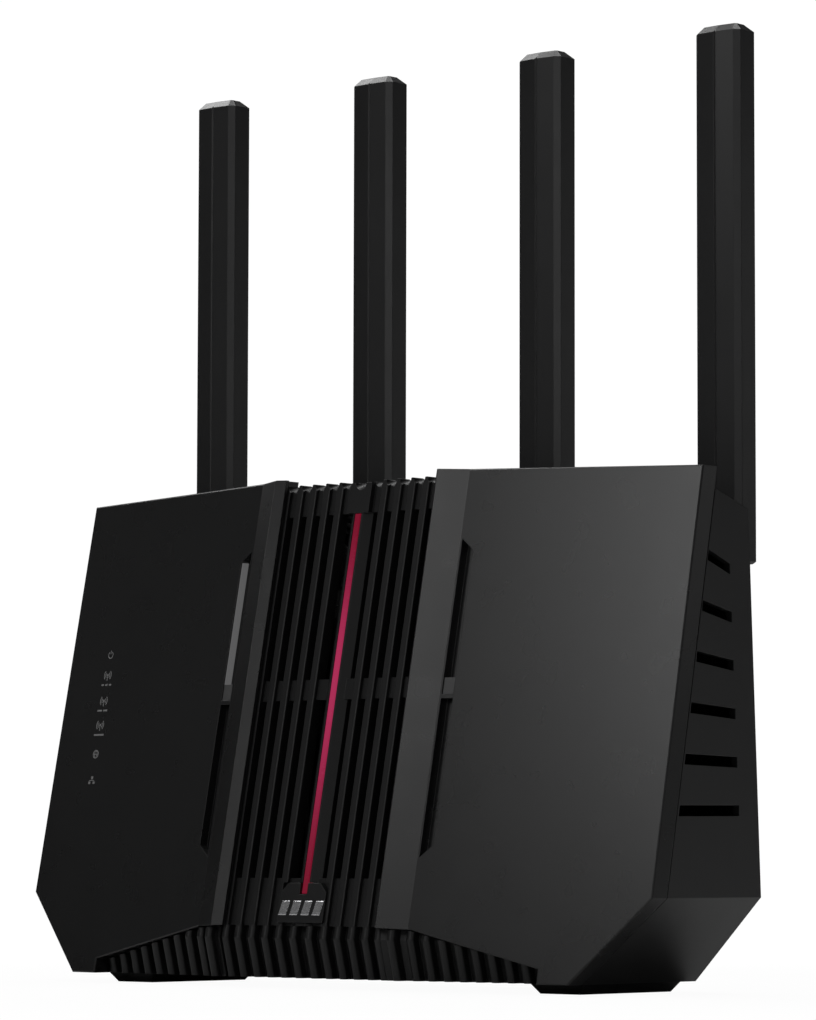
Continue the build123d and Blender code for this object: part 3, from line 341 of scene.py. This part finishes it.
def printed(bm, outline, skin, thick=0.04):
    """Adds a flat printed patch, given as X and Z points, just proud of the skin."""
    tops, feet = [], []
    for x, z in outline:
        spot, normal = skin.at(x, z)
        tops.append(bm.verts.new(spot + normal * thick))
        feet.append(bm.verts.new(spot + normal * 0.003))
    bm.faces.new(tops)
    bm.faces.new(list(reversed(feet)))
    for k in range(len(tops)):
        n = (k + 1) % len(tops)
        bm.faces.new((tops[n], tops[k], feet[k], feet[n]))


def arc_band(x, z, radius, width, start, end, steps=14):
    """Quads of a curved band about a centre.  Angles in degrees, 0 to the right, 90 up."""
    bands = []
    for k in range(steps):
        a0 = math.radians(start + (end - start) * k / steps)
        a1 = math.radians(start + (end - start) * (k + 1) / steps)
        near, far = radius - width / 2, radius + width / 2
        bands.append([
            (x + near * math.cos(a0), z + near * math.sin(a0)),
            (x + far * math.cos(a0), z + far * math.sin(a0)),
            (x + far * math.cos(a1), z + far * math.sin(a1)),
            (x + near * math.cos(a1), z + near * math.sin(a1)),
        ])
    return bands


def rectangle(x, z, width, height):
    """Outline of an upright rectangle about its centre."""
    w, h = width / 2, height / 2
    return [(x - w, z - h), (x + w, z - h), (x + w, z + h), (x - w, z + h)]


def disc(x, z, radius, sides=16):
    """Outline of a small round dot."""
    turn = 2 * math.pi / sides
    return [(x + radius * math.cos(k * turn), z + radius * math.sin(k * turn)) for k in range(sides)]


def block(bm, x0, x1, y0, y1, z0, z1, bevel=0.0):
    """Rectangular block with eased edges, in millimetres."""
    made = bmesh.ops.create_cube(bm, size=1.0)
    for v in made["verts"]:
        v.co = Vector((
            (x0 + x1) / 2 + v.co.x * (x1 - x0), (y0 + y1) / 2 + v.co.y * (y1 - y0),
            (z0 + z1) / 2 + v.co.z * (z1 - z0),
        ))
    if bevel:
        edges = list({e for v in made["verts"] for e in v.link_edges})
        bmesh.ops.bevel(bm, geom=edges, offset=bevel, segments=2, affect="EDGES", profile=0.6)


def lathe(bm, x, z, profile, sides=28):
    """Round piece about a front-to-back axis.  The profile is (radius, y) pairs, closed on the axis."""
    rings = []
    for radius, y in profile:
        turn = 2 * math.pi / sides
        rings.append([
            bm.verts.new((x + radius * math.cos(k * turn), y, z + radius * math.sin(k * turn)))
            for k in range(sides)
        ])
    for near, far in zip(rings, rings[1:]):
        for k in range(sides):
            n = (k + 1) % sides
            bm.faces.new((near[k], near[n], far[n], far[k]))
    bm.faces.new(rings[0])
    bm.faces.new(list(reversed(rings[-1])))


def wire(bm, points, width, thick):
    """Flat spring strip through points in a plane of constant X."""
    sections = []
    for k, (x, y, z) in enumerate(points):
        before = Vector(points[max(0, k - 1)])
        after = Vector(points[min(len(points) - 1, k + 1)])
        along = (after - before).normalized()
        up = Vector((1, 0, 0)).cross(along).normalized() * thick / 2
        side = Vector((width / 2, 0, 0))
        here = Vector((x, y, z))
        corners = (here - side - up, here + side - up, here + side + up, here - side + up)
        sections.append([bm.verts.new(c) for c in corners])
    for near, far in zip(sections, sections[1:]):
        for k in range(4):
            n = (k + 1) % 4
            bm.faces.new((near[k], near[n], far[n], far[k]))
    bm.faces.new(sections[0])
    bm.faces.new(list(reversed(sections[-1])))


# ---- Status marks on the left wing ---------------------------------------------------------------
MARK_X = -112.0
POWER_MARK_Z = 110.6
BAND_MARK_ZS = (103.2, 94.4, 86.1)
GLOBE_MARK_Z = 76.6
NETWORK_MARK_Z = 67.8
LINE = 0.34
TALLY_WIDTH = 5.2
TALLY_GAP = 0.7

left_skin = Skin(["left_wing_panel"])


def power_mark(x, z, r):
    """Broken ring with an upright stroke."""
    return [*arc_band(x, z, r, LINE, 125, 415), rectangle(x, z + r * 0.75, LINE, r * 1.1)]


def radio_mark(x, z, r):
    """Two arcs on each side of a dot, on a short mast."""
    top = z + r * 0.35
    marks = [disc(x, top, 0.45), rectangle(x, z - r * 0.6, LINE, r * 1.2)]
    for reach in (0.85, 1.45):
        for way in (0, 180):
            marks += arc_band(x, top, r * reach, LINE, way - 48, way + 48, 8)
    return marks


def globe_mark(x, z, r):
    """Ring with a meridian and an equator."""
    marks = [*arc_band(x, z, r, LINE, 0, 360, 24), rectangle(x, z, 2 * r - LINE, LINE * 0.8)]
    marks += arc_band(x - r * 0.75, z, r * 1.25, LINE * 0.8, -52, 52, 10)
    marks += arc_band(x + r * 0.75, z, r * 1.25, LINE * 0.8, 128, 232, 10)
    return marks


def network_mark(x, z, r):
    """One box joined to two below it."""
    marks = [rectangle(x, z + r * 0.7, r * 0.9, r * 0.7)]
    marks += [rectangle(x + side * r * 0.95, z - r * 0.75, r * 0.9, r * 0.7) for side in (-1, 1)]
    marks += [rectangle(x, z + r * 0.13, LINE * 0.7, r * 0.45)]
    marks += [rectangle(x, z - r * 0.1, r * 1.9, LINE * 0.7)]
    marks += [rectangle(x + side * r * 0.95, z - r * 0.25, LINE * 0.7, r * 0.35) for side in (-1, 1)]
    return marks


def tally(x, z, count):
    """Row of dashes, always as wide in all, that tells the radio bands apart."""
    dash = (TALLY_WIDTH - TALLY_GAP * (count - 1)) / count
    pitch = dash + TALLY_GAP
    return [rectangle(x + (k - (count - 1) / 2) * pitch, z, dash, 0.6) for k in range(count)]


marks = power_mark(MARK_X, POWER_MARK_Z, 1.15)
for count, z in enumerate(BAND_MARK_ZS, start=1):
    marks += radio_mark(MARK_X, z, 1.25)
    marks += tally(MARK_X, z - 2.9, 4 - count)
marks += globe_mark(MARK_X, GLOBE_MARK_Z, 1.3)
marks += network_mark(MARK_X, NETWORK_MARK_Z, 1.2)
bm = bmesh.new()
for outline in marks:
    printed(bm, outline, left_skin)
make_piece("status_marks", bm, PRINT_INK)

# ---- Badge mark: a plain row of slanted metal bars ---------------------------------------------
badge_skin = Skin(["badge_plate"])
BADGE_ZS = (23.4, 28.0)
BAR_WIDTH = 3.4
BAR_PITCH = 4.85
BAR_SLANT = 1.1


def raised_bar(bm, x, low, high, width, slant, rise):
    """Slanted bar with a bevelled top, standing on the badge plate."""
    feet = [(x - width / 2, low), (x + width / 2, low),
            (x + width / 2 + slant, high), (x - width / 2 + slant, high)]
    middle = sum((Vector(p) for p in feet), Vector((0, 0))) / 4
    rings = []
    for inset, lift in ((0, 0.02), (0, rise * 0.55), (0.22, rise)):
        ring = []
        for px, pz in feet:
            towards = middle - Vector((px, pz))
            shift = towards.normalized() * inset * 1.4
            spot, normal = badge_skin.at(px + shift.x, pz + shift.y)
            ring.append(bm.verts.new(spot + normal * lift))
        rings.append(ring)
    for near, far in zip(rings, rings[1:]):
        for k in range(4):
            n = (k + 1) % 4
            bm.faces.new((near[k], near[n], far[n], far[k]))
    bm.faces.new(rings[-1])
    bm.faces.new(list(reversed(rings[0])))


bm = bmesh.new()
for k in range(4):
    raised_bar(bm, (k - 1.5) * BAR_PITCH - BAR_SLANT / 2, *BADGE_ZS, BAR_WIDTH, BAR_SLANT, 0.3)
make_piece("badge_mark", bm, CHROME)

# ---- Contacts in the ports -----------------------------------------------------------------------
BEZEL_Y = 26.8
JACK_Z = 21.5
LAN_XS = [-34.0 + 15.6 * (k - 1.5) for k in range(4)]
WAN_X = 15.0
USB_X = 38.0
INLET_X = 75.0
CONTACT_PITCH = 1.02
USB_CONTACT_PITCH = 2.3
bm = bmesh.new()
for jack_x in (*LAN_XS, WAN_X):
    for k in range(8):
        x = jack_x + (k - 3.5) * CONTACT_PITCH
        wire(bm, [
            (x, BEZEL_Y - 2.0, JACK_Z + 5.05), (x, BEZEL_Y - 3.4, JACK_Z + 4.9),
            (x, BEZEL_Y - 6.0, JACK_Z + 3.4), (x, BEZEL_Y - 9.0, JACK_Z + 1.7),
            (x, BEZEL_Y - 10.6, JACK_Z + 1.2),
        ], 0.46, 0.26)
for k in range(4):
    x = USB_X + (k - 1.5) * USB_CONTACT_PITCH
    wire(bm, [(x, BEZEL_Y - 1.8, JACK_Z + 0.55), (x, BEZEL_Y - 6.0, JACK_Z + 0.45),
              (x, BEZEL_Y - 9.0, JACK_Z + 0.35), (x, BEZEL_Y - 11.8, JACK_Z + 0.5)], 1.1, 0.2)
make_piece("port_contacts", bm, GOLD)

# ---- Marks printed round the ports -----------------------------------------------------------------
MARK_ROW_Z = 32.4
PROUD = 0.04               # thickness of the ink
POWER_MARK_X = 57.0        # over the power button


def back_patch(bm, outline, y):
    """Flat printed patch on the port bezel, seen from behind."""
    far = [bm.verts.new((x, y + PROUD, z)) for x, z in outline]
    near = [bm.verts.new((x, y + 0.003, z)) for x, z in outline]
    bm.faces.new(far)
    bm.faces.new(list(reversed(near)))
    for k in range(len(far)):
        n = (k + 1) % len(far)
        bm.faces.new((far[n], far[k], near[k], near[n]))


bm = bmesh.new()
port_marks = globe_mark(WAN_X, MARK_ROW_Z, 1.1)
port_marks += power_mark(POWER_MARK_X, MARK_ROW_Z - 3.0, 1.1)
port_marks += [rectangle(USB_X, MARK_ROW_Z - 3.6, 3.2, 0.4), rectangle(USB_X, MARK_ROW_Z - 2.2, 3.2, 0.4)]
port_marks += [rectangle(USB_X + side * 1.4, MARK_ROW_Z - 2.9, 0.4, 1.2) for side in (-1, 1)]
port_marks += [rectangle(INLET_X, MARK_ROW_Z - 1.2, 3.0, 0.4)]
port_marks += [rectangle(INLET_X + step, MARK_ROW_Z - 2.2, 0.7, 0.4) for step in (-1.15, 0, 1.15)]
lan_middle = sum(LAN_XS) / len(LAN_XS)
port_marks += network_mark(lan_middle, MARK_ROW_Z + 0.2, 1.1)
port_marks += [rectangle(lan_middle + side * 17.0, MARK_ROW_Z, 26.0, 0.3) for side in (-1, 1)]
for outline in port_marks:
    back_patch(bm, outline, BEZEL_Y)
make_piece("port_marks", bm, BACK_INK)


NUMBER_Z = 10.6
NUMBER_SIZE = 2.6


def back_number(text, x, z, size):
    """Number printed on the back, read from behind."""
    curve = bpy.data.curves.new(f"number_{text}", "FONT")
    curve.body = text
    curve.size = size * MM
    curve.align_x = "CENTER"
    curve.extrude = 0.02 * MM
    letter = bpy.data.objects.new(f"number_{text}", curve)
    bpy.context.scene.collection.objects.link(letter)
    bpy.context.view_layer.update()
    mesh = bpy.data.meshes.new_from_object(letter)
    bpy.data.objects.remove(letter)
    turn = Matrix.Rotation(math.pi, 4, "Z") @ Matrix.Rotation(math.pi / 2, 4, "X")
    mesh.transform(Matrix.Translation((x * MM, (BEZEL_Y + 0.025) * MM, z * MM)) @ turn)
    mesh.materials.clear()
    mesh.materials.append(BACK_INK)
    piece = bpy.data.objects.new(f"jack_number_{text}", mesh)
    bpy.context.scene.collection.objects.link(piece)
    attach(piece, ROUTER)


for k, x in enumerate(LAN_XS, start=1):
    back_number(str(k), x, NUMBER_Z, NUMBER_SIZE)

# ---- Components on the back of the board ------------------------------------------------------------
BOARD_BACK_Y = 2.8
# x, z, radius, height
CAPACITORS = (
    (-80, 46, 4.0, 11), (-70, 48, 4.0, 11), (-86, 60, 3.2, 9), (66, 46, 5.0, 12),
    (78, 44, 5.0, 12), (88, 56, 4.0, 10), (-20, 44, 3.2, 9), (4, 44, 3.2, 9),
)
# x, z
INDUCTORS = ((50, 60), (62, 60), (74, 60), (50, 74), (62, 74), (-58, 74), (-46, 74))
# x, z, width, height
CHIPS = ((-20, 70, 14, 14), (8, 70, 9, 12), (26, 66, 10, 8), (-80, 80, 8, 8), (80, 82, 8, 8))
TINY_PARTS = 60
bm = bmesh.new()
for x, z, r, h in CAPACITORS:
    top = BOARD_BACK_Y + h
    lathe(bm, x, z, [(r, BOARD_BACK_Y), (r, BOARD_BACK_Y + 0.8), (r - 0.25, BOARD_BACK_Y + 1.2),
                     (r, BOARD_BACK_Y + 1.6), (r, top - 0.5), (r - 0.5, top), (r - 1.0, top - 0.1),
                     (r - 1.05, top - 0.3)])
make_piece("capacitors", bm, CAN_SLEEVE)
bm = bmesh.new()
for x, z in INDUCTORS:
    block(bm, x - 4, x + 4, BOARD_BACK_Y, BOARD_BACK_Y + 4.2, z - 4, z + 4, 0.8)
for x in LAN_XS:
    block(bm, x - 6.5, x + 6.5, BOARD_BACK_Y, BOARD_BACK_Y + 6, 33, 39, 0.5)
make_piece("inductors", bm, FERRITE)
bm = bmesh.new()
for x, z, w, h in CHIPS:
    block(bm, x - w / 2, x + w / 2, BOARD_BACK_Y + 0.1, BOARD_BACK_Y + 1.3, z - h / 2, z + h / 2, 0.15)
for k in range(TINY_PARTS):
    x, z = random.uniform(-88, 88), random.uniform(51, 89)
    block(bm, x - 0.8, x + 0.8, BOARD_BACK_Y, BOARD_BACK_Y + 0.6, z - 0.4, z + 0.4, 0.08)
make_piece("small_chips", bm, MATERIALS["chip"])


# ---- Camera ---------------------------------------------------------------------------------------
def aim_camera(spot, turn, pitch, roll, lens):
    """Camera turned round Z by turn, tipped up by pitch and rolled, all in degrees."""
    a, p, r = math.radians(turn), math.radians(pitch), math.radians(roll)
    forward = Vector((-math.sin(a) * math.cos(p), math.cos(a) * math.cos(p), math.sin(p)))
    right = Vector((math.cos(a), math.sin(a), 0))
    up = right.cross(forward)
    across = right * math.cos(r) + up * math.sin(r)
    above = up * math.cos(r) - right * math.sin(r)
    data = bpy.data.cameras.new("camera")
    data.lens = lens
    data.sensor_width = 36
    data.clip_start, data.clip_end = 0.05, 60
    camera = bpy.data.objects.new("camera", data)
    bpy.context.scene.collection.objects.link(camera)
    turned = Matrix((across, above, -forward)).transposed().to_4x4()
    camera.matrix_world = Matrix.Translation(spot) @ turned
    bpy.context.scene.camera = camera


aim_camera(Vector((0.954, -1.0766, 0.0429)), 41.22, 4.48, 0.131, 155.1)


# ---- Studio ---------------------------------------------------------------------------------------
def softbox(name, turn, rise, reach, width, height, strength):
    """Rectangular light of the given radiance, aimed at the middle of the router.

    turn is in degrees to the right of straight in front, rise in degrees above the table.
    """
    a, e = math.radians(turn), math.radians(rise)
    way = Vector((math.sin(a) * math.cos(e), -math.cos(a) * math.cos(e), math.sin(e)))
    data = bpy.data.lights.new(name, "AREA")
    data.shape = "RECTANGLE"
    data.size, data.size_y = width, height
    data.energy = strength * width * height * math.pi
    lamp = bpy.data.objects.new(name, data)
    bpy.context.scene.collection.objects.link(lamp)
    lamp.location = LIT_POINT + way * reach
    lamp.rotation_mode = "QUATERNION"
    lamp.rotation_quaternion = (-way).to_track_quat("-Z", "Y")


LIT_POINT = Vector((0, 0, 0.12))
# name, turn and rise in degrees, distance, width and height in metres, radiance
LIGHTS = (
    ("overhead", 0, 88, 1.6, 1.6, 1.6, 0.88),
    ("key", -17.5, 28, 1.6, 0.3, 0.55, 6.1),
    ("key_right", 8, 29, 1.6, 0.3, 0.7, 2.75),
    ("front_left", -40, 10, 1.6, 0.6, 0.3, 0.20),
    ("front_right", 50, 14, 1.7, 0.2, 0.55, 3.2),
    ("left", -92, 25, 1.6, 0.5, 0.5, 1.0),
    ("rim_left", -95, 49, 1.6, 0.7, 0.5, 5.0),
    ("left_front", -60, 16, 1.6, 0.5, 0.4, 0.07),
    ("right_rear", 138, 9, 1.6, 0.6, 0.4, 0.38),
    ("left_rear", -140, 24, 1.7, 0.7, 0.3, 1.2),
    ("rear_high", -165, 66, 1.6, 0.8, 0.5, 4.7),
)
for light in LIGHTS:
    softbox(*light)

world = bpy.data.worlds.new("studio")
bpy.context.scene.world = world
world.use_nodes = True
tree = world.node_tree
air = tree.nodes["Background"]
air.inputs["Color"].default_value = (0.024, 0.024, 0.024, 1)
white = tree.nodes.new("ShaderNodeBackground")
white.inputs["Color"].default_value = (1.02, 1.02, 1.02, 1)
seen = tree.nodes.new("ShaderNodeLightPath")
either = tree.nodes.new("ShaderNodeMixShader")
tree.links.new(seen.outputs["Is Camera Ray"], either.inputs["Fac"])
tree.links.new(air.outputs[0], either.inputs[1])
tree.links.new(white.outputs[0], either.inputs[2])
tree.links.new(either.outputs[0], tree.nodes["World Output"].inputs["Surface"])


def make_floor():
    """Pale round floor, which the camera sees as nearly white and plain white further out."""
    bm = bmesh.new()
    bmesh.ops.create_circle(bm, cap_ends=True, radius=12, segments=96)
    mesh = bpy.data.meshes.new("floor")
    bm.to_mesh(mesh)
    bm.free()
    floor = bpy.data.objects.new("floor", mesh)
    bpy.context.scene.collection.objects.link(floor)
    material = bpy.data.materials.new("pale_floor")
    material.use_nodes = True
    tree = material.node_tree
    tree.nodes.clear()
    out = tree.nodes.new("ShaderNodeOutputMaterial")
    matt = tree.nodes.new("ShaderNodeBsdfDiffuse")
    matt.inputs["Color"].default_value = (0.80, 0.80, 0.80, 1)
    glow = tree.nodes.new("ShaderNodeEmission")
    glow.inputs["Color"].default_value = (1.02, 1.02, 1.02, 1)
    place = tree.nodes.new("ShaderNodeTexCoord")
    reach = tree.nodes.new("ShaderNodeVectorMath")
    reach.operation = "LENGTH"
    fade = tree.nodes.new("ShaderNodeMapRange")
    fade.interpolation_type = "SMOOTHSTEP"
    for key, value in (("From Min", 0.18), ("From Max", 0.55), ("To Min", 0.94), ("To Max", 1.0)):
        fade.inputs[key].default_value = value
    seen = tree.nodes.new("ShaderNodeLightPath")
    both = tree.nodes.new("ShaderNodeMath")
    both.operation = "MULTIPLY"
    mix = tree.nodes.new("ShaderNodeMixShader")
    tree.links.new(place.outputs["Object"], reach.inputs[0])
    tree.links.new(reach.outputs["Value"], fade.inputs["Value"])
    tree.links.new(fade.outputs["Result"], both.inputs[0])
    tree.links.new(seen.outputs["Is Camera Ray"], both.inputs[1])
    tree.links.new(both.outputs[0], mix.inputs["Fac"])
    tree.links.new(matt.outputs[0], mix.inputs[1])
    tree.links.new(glow.outputs[0], mix.inputs[2])
    tree.links.new(mix.outputs[0], out.inputs["Surface"])
    mesh.materials.append(material)


make_floor()
bpy.context.scene.view_settings.view_transform = "Standard"
